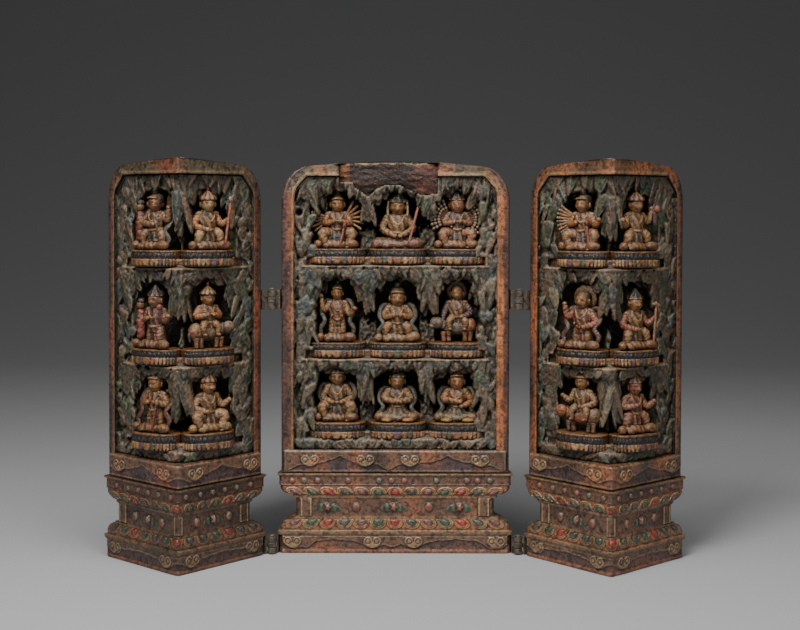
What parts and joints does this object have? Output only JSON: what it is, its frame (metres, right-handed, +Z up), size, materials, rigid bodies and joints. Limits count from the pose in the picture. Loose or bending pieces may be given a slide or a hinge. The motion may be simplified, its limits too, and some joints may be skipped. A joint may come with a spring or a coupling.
{
  "type": "folding shrine box",
  "caption": "Carved and painted wooden shrine column, standing open: a half-column niche with figures on shelves, and hinged quarter-column wings on lotus pedestals.",
  "frame": {"origin": "on the floor, in the middle of the open shrine's width and depth", "axes": "+X to the viewer's right along the open front, +Y away from the viewer, +Z up"},
  "size_m": [0.4266, 0.152, 0.2898],
  "materials": {
    "pedestal_lacquer": "worn dark lacquer over wood, with red, green and gilt on the carved petals",
    "case_lacquer": "worn orange-brown lacquer over dark wood, satin",
    "carved_scene": "carved wood painted grey-green, with rubbed gilt figures and dark hollows",
    "hinge_metal": "dark aged bronze"
  },
  "bodies": {
    "centre": {"centre_base": "pedestal_lacquer", "centre_case": "case_lacquer", "centre_scene": "carved_scene", "left_lower_hinge_fixed_leaf": "hinge_metal", "left_lower_hinge_pin": "hinge_metal", "left_upper_hinge_fixed_leaf": "hinge_metal", "left_upper_hinge_pin": "hinge_metal", "right_lower_hinge_fixed_leaf": "hinge_metal", "right_lower_hinge_pin": "hinge_metal", "right_upper_hinge_fixed_leaf": "hinge_metal", "right_upper_hinge_pin": "hinge_metal"},
    "left_wing": {"left_base": "pedestal_lacquer", "left_case": "case_lacquer", "left_scene": "carved_scene", "left_lower_hinge_wing_leaf": "hinge_metal", "left_upper_hinge_wing_leaf": "hinge_metal"},
    "right_wing": {"right_base": "pedestal_lacquer", "right_case": "case_lacquer", "right_scene": "carved_scene", "right_lower_hinge_wing_leaf": "hinge_metal", "right_upper_hinge_wing_leaf": "hinge_metal"}
  },
  "joints": [
    {"name": "left_wing_hinge", "type": "hinge", "parent": "centre", "child": "left_wing", "pos_m": [-0.0909, -0.01152, 0.098], "axis": [0, 0, 1], "range_deg": [-48, 132]},
    {"name": "right_wing_hinge", "type": "hinge", "parent": "centre", "child": "right_wing", "pos_m": [0.0909, -0.01152, 0.098], "axis": [0, 0, 1], "range_deg": [-132, 48]}
  ]
}
